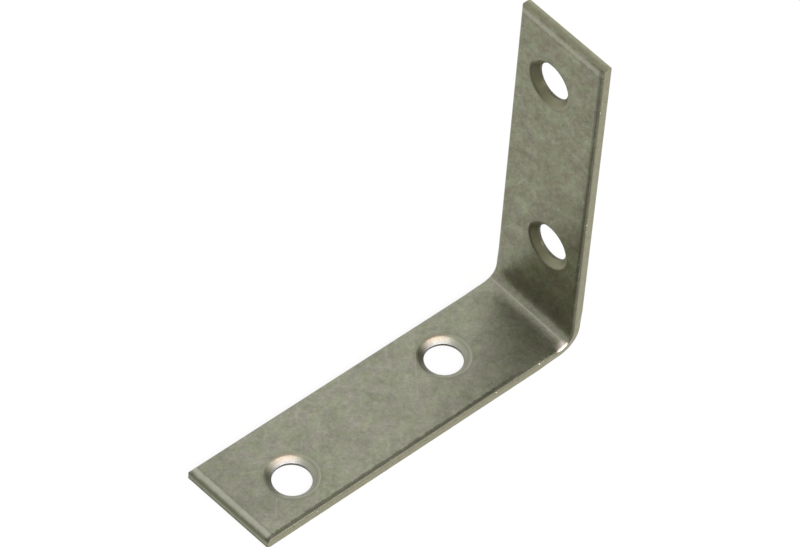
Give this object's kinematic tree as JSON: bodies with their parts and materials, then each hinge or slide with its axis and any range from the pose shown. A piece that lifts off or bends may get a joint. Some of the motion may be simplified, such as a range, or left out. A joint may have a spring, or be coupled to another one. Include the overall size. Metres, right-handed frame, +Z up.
{
  "type": "corner brace bracket",
  "caption": "Right-angle bracket folded from steel strip, with staggered countersunk screw holes in both legs, for bracing an inside corner.",
  "frame": {"origin": "middle of the bounding box on the plane of the lower leg's outer face", "axes": "+X across the strip, -Y along the lower leg from the heel to its free end, +Z up the upright leg"},
  "size_m": [0.014, 0.05, 0.0492],
  "materials": {
    "mill_steel": "dull olive-grey mill finish"
  },
  "bodies": {
    "root": {"bracket": "mill_steel"}
  },
  "joints": []
}
